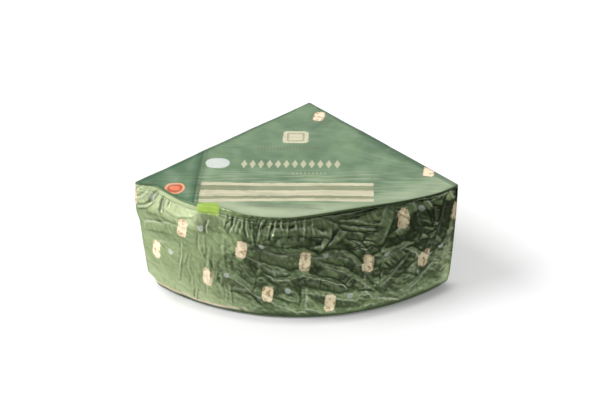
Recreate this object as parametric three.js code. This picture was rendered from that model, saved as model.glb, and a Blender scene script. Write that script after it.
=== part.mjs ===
// A wedge cut from half of a blue cheese wheel and wrapped in printed foil. It is one closed pack:
// a flat top, a curved rind side with crumpled foil, and two straight cut sides that meet at the apex.
// Millimetres, +Z up, resting on Z = 0. The rind faces -Y and the apex points to +Y.

import * as THREE from "three";

// The cut cheese, seen from above: the rind is an arc of the wheel, and the cuts meet behind its centre.
const WHEEL_RADIUS = 152;
const HEIGHT = 78.5;
const CUT_ANGLE = THREE.MathUtils.degToRad(46); // from the wedge's middle to each end of the rind
const WHEEL_CENTRE = new THREE.Vector2(0.6, 73.1);
const APEX = new THREE.Vector2(5.6, 81.1);

// The foil over the cheese's edges.
const CORNER_RADIUS = 2; // at the three upright edges
const TOP_ROUNDING = 1.2;
const BOTTOM_ROUNDING = 3;

// The soft cheese gives: the cut sides lean in at their foot, and the rind leans in at its top,
// most of all right of the middle, where the top sheet's edge runs straighter than the rind.
const LEAN = 0.047; // share of the angle about the apex that is lost at the foot
const LEAN_POWER = 1.8;
const SHOULDER = 7.5; // how far the rind's top edge is set in
const SHOULDER_POWER = 4;
const SHOULDER_FADE_LEFT = [106, 122]; // along the rind from its middle, where the set-in runs out
const SHOULDER_FADE_RIGHT = [60, 119];
const DIP = 6; // the further set-in right of the middle
const DIP_AT = 38; // along the rind from its middle
const DIP_HALF = 46;

// Under the top sheet's edge the rind's foil is drawn in, so that the edge overhangs it.
const GROOVE = 1.6;
const GROOVE_BELOW = 5; // from the top down to the groove's middle
const GROOVE_HALF = 4.5;

// At both ends of the rind the spare foil shapes the upright edge: at the left it is pinched into an ear
// that stands out below the top, and at both the foot of the edge is tucked in.
const EDGE_LEFT = { ear: 1.4, earFoot: 48, earTop: 76, tuck: 4.5 };
const EDGE_RIGHT = { ear: 0, earFoot: 48, earTop: 76, tuck: 1 };
const EDGE_WIDTH = 12; // from the corner to where its shaping has run out, on either side of it
const EAR_STEP = 9; // height over which the ear grows to its full depth, and over which it ends
const TUCK_HEIGHT = 9;

// The top sheet: a fold runs from the left cut side to the rind, and the foil slopes away left of it.
const TOP_FOLD_X = -65.4;
const TOP_FOLD_SLOPE = 0.02;
const TOP_SWELL = 0.5; // height of the long waves in the top sheet
const TOP_SWELL_LENGTH = 46;

// The foil's larger folds on the rind: where each runs, along the rind from its middle and up from the
// foot, its half width, and how far it stands out. A fold with a negative rise is a furrow.
const FOLDS = [
  { from: [-52, 70], to: [-64, 8], half: 5, rise: 1.5 },
  { from: [-44, 62], to: [-52, 14], half: 5, rise: 1.2 },
  { from: [-110, 47], to: [-66, 72], half: 8, rise: 1.9 },
  { from: [-118, 30], to: [-84, 42], half: 9, rise: 1.2 },
  { from: [-90, 77], to: [-98, 60], half: 4.5, rise: -2.6 },
  { from: [-98, 76], to: [-112, 62], half: 4.5, rise: -2.4 },
  { from: [-40, 36], to: [-6, 8], half: 6, rise: -1.9 },
  { from: [-30, 46], to: [22, 26], half: 8, rise: 1.6 },
  { from: [10, 60], to: [44, 40], half: 8, rise: 1.5 },
  { from: [2, 22], to: [46, 14], half: 7, rise: 1.3 },
  { from: [70, 77], to: [60, 12], half: 6, rise: 2.2 },
  { from: [50, 74], to: [54, 22], half: 5, rise: -1.6 },
  { from: [80, 74], to: [92, 34], half: 7, rise: 1.5 },
  { from: [117, 60], to: [107, 16], half: 5, rise: -1.8 },
  { from: [74, 30], to: [104, 12], half: 7, rise: 1.3 },
];

// Smaller creases, scattered by rule over the rind.
const CREASES = 46;
const CREASE_LENGTH = [16, 44];
const CREASE_HALF = [4, 8];
const CREASE_RISE = 1.0;

// Foil folded over from the rind and from the apex lies flat on the cut sides, as triangles, and
// the sides have fewer and longer creases than the rind.
const FLAP_REACH = 58;
const FLAP_THICKNESS = 1.3;
const FLAP_EDGE = 3; // width of the step at the flap's edge
const CUT_CREASES = 14;
const CUT_CREASE_LENGTH = [40, 90];
const CUT_CREASE_RISE = 0.8;

// The mesh: steps along a cut side, along the rind and round an upright edge, and rings on each part.
const STEPS_CUT = 33;
const STEPS_RIND = 60;
const STEPS_CORNER = 2;
const RINGS_WALL = 16;
const RINGS_ROUNDING = 2;
const RINGS_TOP = 9;
const TOP_MIDDLE = new THREE.Vector2(1, 4);

const lerp = THREE.MathUtils.lerp;
const clamp01 = (x) => THREE.MathUtils.clamp(x, 0, 1);
const smooth = (x, from, to) => THREE.MathUtils.smoothstep(x, from, to);

// A number from 0 to 1 that depends only on i and k, so that the creases are the same on every run.
function scatter(i, k) {
  const x = Math.sin(i * 127.1 + k * 311.7) * 43758.5453;
  return x - Math.floor(x);
}

// A straight fold: a ridge with flat flanks, highest in the middle of its length.
function fold(along, up, { from, to, half, rise }) {
  const [du, dv] = [to[0] - from[0], to[1] - from[1]];
  const length = Math.hypot(du, dv);
  const [u, v] = [along - from[0], up - from[1]];
  const share = (u * du + v * dv) / (length * length);
  const aside = Math.abs(u * dv - v * du) / length;
  const ends = Math.max(0, 1 - (2 * share - 1) ** 4);
  return rise * Math.max(0, 1 - aside / half) * (share > 0 && share < 1 ? ends : 0);
}

// Creases scattered over a side: every second one or so is a furrow. seed sets one side apart from
// another, across is the run of the side, and steep is how far from upright a crease may turn.
function scatterCreases({ count, seed, across, length, rise, steep }) {
  return Array.from({ length: count }, (_, i) => {
    const n = seed + i;
    const middle = [lerp(...across, scatter(n, 1)), lerp(6, HEIGHT - 6, scatter(n, 2))];
    const reach = lerp(...length, scatter(n, 3)) / 2;
    const turn = lerp(-steep, steep, scatter(n, 4)) + Math.PI / 2;
    const [du, dv] = [reach * Math.cos(turn), reach * Math.sin(turn)];
    return {
      from: [middle[0] - du, middle[1] - dv],
      to: [middle[0] + du, middle[1] + dv],
      half: lerp(...CREASE_HALF, scatter(n, 5)),
      rise: rise * (scatter(n, 6) < 0.5 ? -1 : 1),
    };
  });
}

const RIND_FOLDS = [
  ...FOLDS,
  ...scatterCreases({
    count: CREASES,
    seed: 0,
    across: [-118, 118],
    length: CREASE_LENGTH,
    rise: CREASE_RISE,
    steep: 1.3,
  }),
];
const cutCreases = (seed) =>
  scatterCreases({
    count: CUT_CREASES,
    seed,
    across: [10, 150],
    length: CUT_CREASE_LENGTH,
    rise: CUT_CREASE_RISE,
    steep: 1.1,
  });
const LEFT_CREASES = cutCreases(100);
const RIGHT_CREASES = cutCreases(200);
const sumOfFolds = (folds, along, up) => folds.reduce((sum, f) => sum + fold(along, up, f), 0);

// How far the foil stands out from the rind at a place along it and up it.
function rindRelief(along, up) {
  const edges = smooth(up, 0, 7) * (1 - smooth(up, HEIGHT - 7, HEIGHT));
  const fromGroove = Math.abs(up - (HEIGHT - GROOVE_BELOW)) / GROOVE_HALF;
  const groove = GROOVE * Math.max(0, 1 - fromGroove) * smooth(along, -20, 10);
  return sumOfFolds(RIND_FOLDS, along, up) * edges - groove;
}

// How far the top edge is set in from the rind's arc, and how that fades down the rind.
function setBack(along, up) {
  const aside = clamp01(1 - ((along - DIP_AT) / DIP_HALF) ** 2);
  const dip = DIP * aside * aside;
  const fade = along < 0 ? SHOULDER_FADE_LEFT : SHOULDER_FADE_RIGHT;
  const shoulder = SHOULDER * (1 - smooth(Math.abs(along), ...fade));
  return (shoulder + dip) * (up / HEIGHT) ** SHOULDER_POWER;
}

// How far the upright edge at one end of the rind stands aside, by the distance from that edge.
function edgeAside({ ear, earFoot, earTop, tuck }, fromCorner, up) {
  const ends = smooth(up, earFoot, earFoot + EAR_STEP) * (1 - smooth(up, earTop - EAR_STEP, earTop));
  const out = ear * ends - tuck * (1 - smooth(up, 0, TUCK_HEIGHT));
  return out * (1 - smooth(fromCorner, 0, EDGE_WIDTH));
}

// A flap is a triangle with one side on an upright edge: its reach is full at the foot and nil at the top.
function flap(fromEdge, up) {
  const reach = FLAP_REACH * (1 - up / HEIGHT);
  return FLAP_THICKNESS * (1 - smooth(fromEdge, reach - FLAP_EDGE, reach));
}

// The relief of a cut side, by the distances from the apex and from the rind. Only the left side has
// the apex's flap: the foil is folded that way round.
function cutRelief(fromApex, fromRind, up, isLeft) {
  const flaps = flap(fromRind, up) + (isLeft ? flap(fromApex, up) : 0);
  const lines = sumOfFolds(isLeft ? LEFT_CREASES : RIGHT_CREASES, fromApex, up);
  const edges = smooth(up, 0, 5) * (1 - smooth(up, HEIGHT - 5, HEIGHT));
  return (flaps + lines) * edges * smooth(Math.min(fromApex, fromRind), 0, 6);
}

// The height of the top sheet above the nominal one.
function topRelief(x, y) {
  const left = -TOP_FOLD_SLOPE * Math.max(0, TOP_FOLD_X - x);
  const swell = Math.sin(x / TOP_SWELL_LENGTH + 1) * Math.cos((y + 0.6 * x) / TOP_SWELL_LENGTH);
  return left + TOP_SWELL * (swell - 1);
}

// The pack's outline as a loop of places, each with its outward direction, and with its relief and its
// shift aside as functions of height. It starts at the apex and goes round by the right cut side, the
// rind and the left cut side.
function outline() {
  const end = (side) =>
    new THREE.Vector2(side * Math.sin(CUT_ANGLE), -Math.cos(CUT_ANGLE))
      .multiplyScalar(WHEEL_RADIUS)
      .add(WHEEL_CENTRE);
  const places = [];

  const addCut = (side) => {
    const rindEnd = end(side);
    const direction = rindEnd.clone().sub(APEX);
    const length = direction.length();
    direction.divideScalar(length);
    const out = new THREE.Vector2(-direction.y * side, direction.x * side);
    const edge = side < 0 ? EDGE_LEFT : EDGE_RIGHT;
    for (let i = 0; i <= STEPS_CUT; i++) {
      const share = side > 0 ? i / STEPS_CUT : 1 - i / STEPS_CUT;
      const fromApex = lerp(CORNER_RADIUS, length - CORNER_RADIUS, share);
      places.push({
        point: APEX.clone().addScaledVector(direction, fromApex),
        out,
        relief: (up) => cutRelief(fromApex, length - fromApex, up, side < 0),
        aside: (up) => side * edgeAside(edge, length - fromApex, up),
      });
    }
  };

  const addRind = () => {
    const half = CUT_ANGLE - CORNER_RADIUS / WHEEL_RADIUS;
    const rindHalf = CUT_ANGLE * WHEEL_RADIUS;
    for (let i = 0; i <= STEPS_RIND; i++) {
      const angle = lerp(half, -half, i / STEPS_RIND);
      const along = angle * WHEEL_RADIUS;
      const edge = along < 0 ? EDGE_LEFT : EDGE_RIGHT;
      const out = new THREE.Vector2(Math.sin(angle), -Math.cos(angle));
      places.push({
        point: WHEEL_CENTRE.clone().addScaledVector(out, WHEEL_RADIUS),
        out,
        relief: (up) => rindRelief(along, up) - setBack(along, up),
        aside: (up) => Math.sign(along) * edgeAside(edge, rindHalf - Math.abs(along), up),
      });
    }
  };

  // Rounds the corner between the last place and the next run's first, as a curve that leaves
  // along one side and arrives along the other.
  const addCorner = (corner, next, aside) => {
    const last = places[places.length - 1];
    const curve = new THREE.QuadraticBezierCurve(last.point, corner, next.point);
    for (let i = 1; i <= STEPS_CORNER; i++) {
      const share = i / (STEPS_CORNER + 1);
      places.push({
        point: curve.getPoint(share),
        out: last.out.clone().lerp(next.out, share).normalize(),
        relief: () => 0,
        aside,
      });
    }
  };

  addCut(1);
  const right = places.length;
  addRind();
  const rind = places.splice(right);
  addCorner(end(1), rind[0], (up) => edgeAside(EDGE_RIGHT, 0, up));
  places.push(...rind);
  const left = places.length;
  addCut(-1);
  const leftCut = places.splice(left);
  addCorner(end(-1), leftCut[0], (up) => -edgeAside(EDGE_LEFT, 0, up));
  places.push(...leftCut);
  addCorner(APEX, places[0], () => 0);
  return places;
}

// The cut sides' lean: a place turns towards the wedge's middle about the apex, the more the lower it is.
function lean(x, y, z) {
  const [dx, dy] = [x - APEX.x, APEX.y - y];
  const kept = 1 - LEAN * (1 - clamp01(z / HEIGHT)) ** LEAN_POWER;
  const angle = Math.atan2(dx, dy) * kept;
  const reach = Math.hypot(dx, dy);
  return [APEX.x + reach * Math.sin(angle), APEX.y - reach * Math.cos(angle), z];
}

// One vertex of the wall: its relief moves it out, an ear moves it aside, and the edge's rounding in.
function wallVertex(place, up, roundedBy) {
  const { x, y } = place.point.clone().addScaledVector(place.out, place.relief(up) - roundedBy);
  const sheet = topRelief(x, y) * smooth(up, HEIGHT / 2, HEIGHT);
  return lean(x + place.aside(up), y, up + sheet);
}

// The pack's skin: rings round the wall from the foot to the top, then shrinking rings on the top sheet.
function wedgeGeometry() {
  const places = outline();
  const rings = [];
  for (let i = 0; i <= RINGS_ROUNDING; i++) {
    const turn = (Math.PI / 2) * (i / RINGS_ROUNDING);
    const up = BOTTOM_ROUNDING * (1 - Math.cos(turn));
    const roundedBy = BOTTOM_ROUNDING * (1 - Math.sin(turn));
    rings.push(places.map((p) => wallVertex(p, up, roundedBy)));
  }
  for (let i = 1; i < RINGS_WALL; i++) {
    const up = lerp(BOTTOM_ROUNDING, HEIGHT - TOP_ROUNDING, i / RINGS_WALL);
    rings.push(places.map((p) => wallVertex(p, up, 0)));
  }
  for (let i = 0; i <= RINGS_ROUNDING; i++) {
    const turn = (Math.PI / 2) * (i / RINGS_ROUNDING);
    const up = HEIGHT - TOP_ROUNDING * (1 - Math.sin(turn));
    const roundedBy = TOP_ROUNDING * (1 - Math.cos(turn));
    rings.push(places.map((p) => wallVertex(p, up, roundedBy)));
  }
  const edge = rings[rings.length - 1];
  for (let i = 1; i < RINGS_TOP; i++) {
    const share = 1 - i / RINGS_TOP;
    rings.push(
      edge.map(([ex, ey]) => {
        const [x, y] = [lerp(TOP_MIDDLE.x, ex, share), lerp(TOP_MIDDLE.y, ey, share)];
        return [x, y, HEIGHT + topRelief(x, y)];
      }),
    );
  }

  const count = places.length;
  const foot = [TOP_MIDDLE.x, TOP_MIDDLE.y, 0];
  const middle = [TOP_MIDDLE.x, TOP_MIDDLE.y, HEIGHT + topRelief(TOP_MIDDLE.x, TOP_MIDDLE.y)];
  const positions = [...rings.flat(), foot, middle].flat();
  const footIndex = rings.length * count;
  const middleIndex = footIndex + 1;
  const faces = [];
  for (let i = 0; i < count; i++) {
    const next = (i + 1) % count;
    for (let r = 0; r + 1 < rings.length; r++) {
      const [a, b] = [r * count + i, r * count + next];
      const [c, d] = [a + count, b + count];
      faces.push(a, c, b, b, c, d);
    }
    faces.push(footIndex, i, next);
    const lastRing = (rings.length - 1) * count;
    faces.push(middleIndex, lastRing + next, lastRing + i);
  }
  const geometry = new THREE.BufferGeometry();
  geometry.setAttribute("position", new THREE.Float32BufferAttribute(positions, 3));
  geometry.setIndex(faces);
  geometry.computeVertexNormals();
  return geometry;
}

const printedFoil = new THREE.MeshStandardMaterial({
  name: "printed_foil",
  color: new THREE.Color(0.3, 0.42, 0.25),
  roughness: 0.38,
  metalness: 0.6,
});

const wedge = new THREE.Mesh(wedgeGeometry(), printedFoil);
wedge.name = "wrapped_wedge";

const model = new THREE.Group();
model.name = "foil_wrapped_cheese_wedge";
model.add(wedge);

export default model;
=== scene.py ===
"""A wedge of soft blue cheese, an eighth of a wheel, wrapped shut in printed foil.

Shapes are worked out in millimetres and put into their meshes in metres. The rind side faces -Y, the
two cut sides meet at the apex towards +Y, and the pack stands on its underside at Z = 0."""

import math

import bpy
import numpy as np
from mathutils import Matrix, Vector
from mathutils.geometry import delaunay_2d_cdt


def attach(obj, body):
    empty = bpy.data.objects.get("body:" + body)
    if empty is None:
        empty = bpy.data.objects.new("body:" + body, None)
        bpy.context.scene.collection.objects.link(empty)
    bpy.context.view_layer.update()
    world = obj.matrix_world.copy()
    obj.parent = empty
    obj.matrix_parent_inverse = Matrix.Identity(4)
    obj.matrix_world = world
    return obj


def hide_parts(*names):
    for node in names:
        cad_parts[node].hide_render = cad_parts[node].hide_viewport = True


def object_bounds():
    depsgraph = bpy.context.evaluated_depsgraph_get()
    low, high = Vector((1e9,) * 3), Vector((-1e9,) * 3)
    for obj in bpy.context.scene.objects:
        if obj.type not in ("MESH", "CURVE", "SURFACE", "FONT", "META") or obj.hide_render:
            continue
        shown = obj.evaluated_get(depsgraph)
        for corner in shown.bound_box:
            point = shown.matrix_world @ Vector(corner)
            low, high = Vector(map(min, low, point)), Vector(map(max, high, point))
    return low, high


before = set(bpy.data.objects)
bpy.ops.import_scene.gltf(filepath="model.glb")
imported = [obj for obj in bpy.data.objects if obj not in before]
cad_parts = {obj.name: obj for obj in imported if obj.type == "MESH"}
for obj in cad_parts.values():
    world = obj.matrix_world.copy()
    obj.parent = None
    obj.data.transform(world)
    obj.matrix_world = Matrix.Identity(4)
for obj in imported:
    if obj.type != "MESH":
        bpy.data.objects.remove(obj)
cad_low, cad_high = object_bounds()

# The pack's form: one sheet of printed foil, pulled tight over a sector of a cheese wheel and folded
# shut. The cheese under it gives the form: a flat top, the curved rind side and two straight cut sides.
# The foil is drawn in round the top edge, pinched into an ear at the left end and tucked in at its foot.

MM = 0.001
HEIGHT = (cad_high.z - cad_low.z) / MM
WHEEL_RADIUS = 152.0
CUT_ANGLE = math.radians(46)
WHEEL_CENTRE = np.array([0.6, 73.1])
APEX = np.array([5.6, 81.1])
RIND_HALF = WHEEL_RADIUS * CUT_ANGLE

CORNER_RADIUS = 2.0
TOP_ROUNDING = 1.0
FOOT_ROUNDING = 3.0

LEAN = 0.047
LEAN_POWER = 1.8
SHOULDER = 7.5
SHOULDER_POWER = 4
SHOULDER_FADE_LEFT = (106, 122)
SHOULDER_FADE_RIGHT = (60, 119)
DIPS = [(4.1, 37.0, 46.0), (2.2, -52.0, 18.0)]  # the top edge's hollows: depth, run, half length
GROOVE = (1.5, 2.8)  # depth under the top sheet's edge, right of the middle and near the right end
GROOVE_START = (-24, 8)  # the runs over which it sets in, and those over which it deepens
GROOVE_DEEPER = (40, 100)
GROOVE_UPPER = 0.9  # how far below the lip it is full, and the depths between which it fades out
GROOVE_LOWER = (3.0, 11.0)
LIP = 1.1
CHAMFER_FOOT = 61.0
CHAMFER_START = (56, 74)
EDGE_LEFT = (1.4, 4.5)  # how far the ear stands out, and how far the foot is tucked in
EDGE_RIGHT = (0.0, 1.0)
EDGE_WIDTH = 12.0
EAR_FOOT = 48.0
EAR_TOP = 76.0
EAR_STEP = 9.0
TUCK_HEIGHT = 9.0

COLUMNS_CUT = 90
COLUMNS_RIND = 410
COLUMNS_CORNER = 5


def smooth(value, start, end):
    """A step from 0 at start to 1 at end, as 3 t squared less 2 t cubed of the share t between them."""
    t = np.clip((value - start) / (end - start), 0, 1)
    return t * t * (3 - 2 * t)


def outline():
    """The pack seen from above, as a closed loop of places: from the apex along the right cut side, round
    the rind from right to left, and back along the left cut side. Each upright edge is the quadratic
    curve (1-t)^2 A + 2 t (1-t) C + t^2 B from one side's last place A to the next one's first B, pulled
    to the corner C. A dict of arrays gives each place's point, its outward direction, its run (the
    distance along the wrapped foil from the rind's middle, positive to the right) and its side: 0 for
    the rind, 1 for the right cut and -1 for the left."""

    def rind_end(side):
        return WHEEL_CENTRE + WHEEL_RADIUS * np.array([side * math.sin(CUT_ANGLE), -math.cos(CUT_ANGLE)])

    def cut_side(side):
        span = rind_end(side) - APEX
        length = np.hypot(*span)
        direction = span / length
        from_apex = np.linspace(CORNER_RADIUS, length - CORNER_RADIUS, COLUMNS_CUT)
        return {
            "point": APEX + direction * from_apex[:, None],
            "out": np.tile([-direction[1] * side, direction[0] * side], (COLUMNS_CUT, 1)),
            "run": side * (RIND_HALF + length - from_apex),
            "side": np.full(COLUMNS_CUT, side),
        }

    def corner(last, first, tip, side):
        t = (np.arange(1, COLUMNS_CORNER + 1) / (COLUMNS_CORNER + 1))[:, None]
        out = last["out"][-1] * (1 - t) + first["out"][0] * t
        a, b = last["point"][-1], first["point"][0]
        run_a, run_b = last["run"][-1], first["run"][0]
        if abs(run_a - run_b) > RIND_HALF:
            run_b = run_a
        return {
            "point": a * (1 - t) ** 2 + 2 * tip * t * (1 - t) + b * t**2,
            "out": out / np.hypot(out[:, 0], out[:, 1])[:, None],
            "run": (run_a * (1 - t) + run_b * t)[:, 0],
            "side": np.full(COLUMNS_CORNER, side),
        }

    angle = np.linspace(CUT_ANGLE - CORNER_RADIUS / WHEEL_RADIUS, CORNER_RADIUS / WHEEL_RADIUS - CUT_ANGLE,
                        COLUMNS_RIND)
    out = np.stack([np.sin(angle), -np.cos(angle)], 1)
    rind = {
        "point": WHEEL_CENTRE + WHEEL_RADIUS * out,
        "out": out,
        "run": WHEEL_RADIUS * angle,
        "side": np.zeros(COLUMNS_RIND),
    }
    right = cut_side(1)
    left = {name: values[::-1] for name, values in cut_side(-1).items()}
    runs = [
        right,
        corner(right, rind, rind_end(1), 0),
        rind,
        corner(rind, left, rind_end(-1), 0),
        left,
        corner(left, right, APEX, -1),
    ]
    return {name: np.concatenate([run[name] for run in runs]) for name in rind}


# The foil's folds and crumples. Where the sheet had to bend round the cheese it was pressed flat, so it
# is creased into flat facets between sharp crests and valleys: long sweeping ones right of the middle,
# short upright ones under the top edge, and few and shallow ones on the smoother left end.

# The main crests and valleys, each a line of places (run, height, rise), with the rise in a valley negative.
FOLD_LINES = [
    # the smoother left end: the facets below the top edge, and the upright channels beside them
    [(-74, 69, 0.2), (-84, 66, 0.7), (-95, 67, 0.8), (-103, 65, 0.3)],
    [(-116, 58, 0.2), (-108, 60, 0.9), (-99, 57, 0.4)],
    [(-116, 50, -0.4), (-106, 53, -0.9), (-90, 58, -1.0), (-76, 63, -0.4)],
    [(-117, 44, 0.4), (-109, 47, 1.4), (-95, 51, 1.1), (-84, 50, 0.2)],
    [(-118, 38, -0.3), (-104, 40, -0.7), (-90, 45, -0.3)],
    [(-112, 30, 0.4), (-102, 27, 0.7), (-96, 20, 0.4)],
    [(-98, 38, 0.3), (-91, 32, 0.6), (-88, 22, 0.2)],
    [(-86, 54, 0.2), (-80, 42, 0.5), (-82, 30, 0.3), (-80, 20, 0.1)],
    [(-108, 14, -0.3), (-96, 10, -0.4), (-84, 12, -0.2)],
    [(-74, 50, -0.2), (-70, 36, -0.35), (-74, 24, -0.1)],
    [(-62, 58, 0.2), (-66, 44, 0.45), (-64, 30, 0.35), (-70, 14, 0.2)],
    [(-54, 62, 0.2), (-55, 50, 0.5), (-58, 34, 0.6), (-62, 18, 0.3)],
    [(-48, 60, 0.1), (-49, 48, 0.6), (-53, 38, 0.3)],
    # the boundary that runs down to the right from the left end, and the crest above it
    [(-50, 31, -0.8), (-46, 28, -1.4), (-36, 23, -2.0), (-28, 16, -1.8), (-11, 9, -1.2), (0, 5, -0.4)],
    [(-44, 37, 0.4), (-33, 29, 0.9), (-20, 19, 1.1), (-8, 14, 0.6)],
    # the middle: an overhanging crest with a deep hollow below it
    [(-40, 62, 0.4), (-30, 61, 0.9), (-20, 60, 1.3), (-8, 57, 1.1), (0, 58, 1.4), (9, 58, 1.0),
     (16, 55, 0.8)],
    [(-26, 54, -0.8), (-19, 52, -2.2), (-9, 49, -2.4), (-1, 51, -1.2), (8, 49, -2.4), (16, 47, -1.8),
     (22, 49, -0.6)],
    [(-34, 49, 0.8), (-22, 46, 1.2), (-8, 42, 1.3), (3, 41, 1.0), (11, 42, 0.8)],
    [(-20, 69, -0.7), (-6, 70, -1.0), (8, 70, -1.2), (22, 68, -1.0)],
    [(-21, 65, 0.6), (4, 66.5, 0.8), (24, 63.5, 0.6)],
    [(-24, 43, -0.6), (-16, 37, -1.5), (-8, 37.5, -0.8)],
    [(-21, 37, 0.5), (-14, 33.5, 1.0), (-3, 36, 0.7)],
    [(-14, 30, -1.0), (-2, 31, -0.9), (6, 34, -1.0)],
    [(-26, 33, 0.6), (-28, 24, 1.1), (-31, 18, 0.5)],
    [(8, 27, -0.5), (8, 16, -1.9), (7, 5, -1.3)],
    [(3, 27, 0.4), (3.5, 16, 1.2), (2, 8, 1.0)],
    # the fan of creases above and right of the hollow
    [(28, 73, 0.8), (26, 62, 1.0), (16, 51, 0.6)],
    [(38, 65, 1.0), (28, 58, 0.9), (18, 50.5, 0.5)],
    [(32, 67, -1.0), (25, 58, -1.2)],
    [(21, 65, -0.9), (19, 57, -1.0)],
    [(43, 64, 0.8), (47, 57, 1.5), (50, 51, 1.0)],
    [(52, 62, -0.7), (45, 52, -0.9)],
    [(21, 54, 0.6), (30, 55, 1.1), (39, 52, 1.5), (48, 40, 0.2)],
    [(22, 49.5, -1.0), (36, 46, -1.5), (46, 35, -0.8)],
    [(20, 45, 0.7), (33, 41, 1.3), (46, 30, 0.2)],
    [(20, 40, -0.9), (31, 36, -1.4), (43, 27, -0.7)],
    [(14, 35, 0.5), (26, 32.5, 1.0), (38, 23, 0.8)],
    [(18, 31, -1.4), (27, 26, -1.9), (36, 25, -0.6)],
    [(16, 24, 0.8), (29, 20, 1.3), (44, 19, 0.4)],
    [(22, 17, -0.7), (32, 12.5, -1.5), (43, 11, -0.6)],
    [(16, 11, 0.8), (32, 7, 0.9), (46, 6, 0.5)],
    # the upright band and the folds that lean away from it to the right
    [(50, 50, -1.7), (49, 34, -2.2), (50, 17, -1.5)],
    [(54, 46, 0.8), (54, 30, 1.0), (55, 20, 0.6)],
    [(74, 76, 0.9), (70, 69, 1.4), (66, 60, 1.6), (61, 51, 1.3)],
    [(68, 76, -1.0), (62, 67, -1.4), (56, 58, -1.5), (54, 52, -0.8)],
    [(79, 76, 0.6), (80, 67, 1.3), (83, 60, 0.7)],
    [(75, 70, -0.9), (75, 60, -1.5)],
    [(70, 59.5, 0.5), (73.5, 53.5, 1.3), (78, 56.5, 0.9)],
    [(88, 75, -1.3), (89, 66, -2.4), (91, 58, -2.3), (94, 50, -1.4)],
    [(93, 74, 0.9), (97, 65, 1.5), (99, 56, 1.0)],
    [(98, 73, -1.0), (103, 65, -1.9), (104, 55, -1.2)],
    [(108, 72, 1.0), (106, 62, 1.4), (103, 50, 0.9)],
    [(112, 70, -1.0), (110, 58, -2.2), (107, 45, -2.0), (103, 38, -0.6)],
    [(116, 66, 0.3), (114, 50, 0.9), (112, 34, 0.8)],
    [(60, 48, 0.4), (69, 49, 1.5), (78, 51, 1.2), (86, 47, 0.5)],
    [(58, 40, -0.8), (67, 40, -2.3), (76, 43.5, -1.6), (82, 46, -0.5)],
    [(59, 20, 0.5), (66, 28, 1.3), (77, 38, 1.2)],
    [(63, 19, -0.7), (71, 27, -1.2), (81, 37, -0.9)],
    [(67, 18, 0.5), (77, 26, 1.1), (86, 33, 0.8)],
    [(85, 44, 1.0), (92, 38, 1.9), (102, 30, 1.2), (112, 22, 0.4)],
    [(88, 37, -1.3), (93, 30, -2.0), (90, 23, -0.9)],
    [(106, 27, -1.0), (101, 20, -2.2), (92, 13, -1.4)],
    [(96, 9, -0.6), (107, 15, -1.2), (115, 25, -0.6)],
    [(100, 33, 0.5), (109, 39, 1.0), (116, 50, 0.4)],
    [(50, 18, 0.4), (60, 14, 1.2), (74, 6, 0.8)],
    [(56, 9, -0.8), (66, 8, -1.2), (78, 3, -0.4)],
    [(74, 14, 0.8), (86, 17, 1.8), (98, 25, 1.2), (110, 28, 0.6)],
]
LINE_STEP = 2.5
# The facets between the lines, at places by rule: how far apart, and how high at most.
FACETS_WIDE = (10.5, 1.1)
FACETS_FINE = (5.0, 0.42)
FACETS_TINY = (2.3, 1.6, 0.22)  # how long, how wide, and how high at most
SWEEP_TURN = math.radians(-28)
SWEEP_STRETCH = 1.7
WARP = 0.35
FOIL_DEPTH = 1.0
LEFT_END = (-62, -20)  # the runs between which the smoother left end passes into the crumpled rest
LEFT_ROUGH = 0.55
LEFT_DEPTH = 0.15
SHARP_BEND = 0.15
RIND_FADES = (6.0, 2.5, 4.0)  # how far the relief fades out towards the foot, the top edge and the corners
# Thin ridges where the foil was pinched, each a line of places (run, height), a half width and a rise.
THIN_RIDGES = [
    ([(14, 76.5), (36, 71), (64, 63.5)], 0.8, 1.2),
    ([(32, 68.5), (60, 60.5)], 0.7, 0.9),
    ([(-46, 74.5), (-26, 75.5), (10, 75)], 0.8, 0.35),
    ([(-22, 65), (4, 67)], 0.8, 0.4),
    ([(5, 66), (25, 63)], 0.8, 0.4),
    ([(28, 73), (26, 62), (16, 51)], 0.9, 0.5),
    ([(38, 65), (28, 58)], 0.8, 0.4),
    ([(74, 76), (68, 65), (61, 51)], 1.0, 0.6),
    ([(70, 59.5), (73.5, 53.5), (78, 56.5)], 0.9, 0.5),
    ([(62, 37), (59, 29), (60, 18)], 0.9, 0.6),
    ([(54, 21), (62, 13)], 1.0, 0.6),
    ([(-26, 33), (-28, 24), (-31, 18)], 0.9, 0.5),
    ([(19, 33), (17, 25)], 0.9, 0.6),
    ([(4, 27), (4, 17), (2, 10)], 0.9, 0.6),
    ([(-49, 65), (-48, 70), (-43, 75)], 1.0, 0.7),
    ([(-28, 69), (-26, 57)], 0.9, 0.6),
    ([(-21, 67), (-25, 58)], 0.8, 0.4),
]
# Slits, where one fold of the foil lies on another: like thin ridges, but pressed in. One of them is a
# small crest.
SLITS = [
    ([(-115, 78), (-121, 73)], 1.2, -1.5),
    ([(-112, 76), (-116, 69), (-121, 67)], 1.0, -0.9),
    ([(-104, 77), (-108, 71), (-109, 66)], 1.6, -2.4),
    ([(-105, 70), (-112, 64), (-121, 60)], 1.3, -1.9),
    ([(-98, 75), (-99, 70), (-98, 64)], 1.4, -2.2),
    ([(-92, 75), (-93, 69)], 1.0, -1.0),
    ([(-116, 51), (-104, 55), (-88, 60)], 1.2, -0.8),
    ([(-84, 66), (-78, 68), (-71, 70)], 1.0, 0.35),
    ([(-61, 70), (-62, 65), (-61, 60)], 1.1, -1.0),
    ([(-73, 13), (-74, 9), (-75, 4)], 0.9, -1.9),
]
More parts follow.
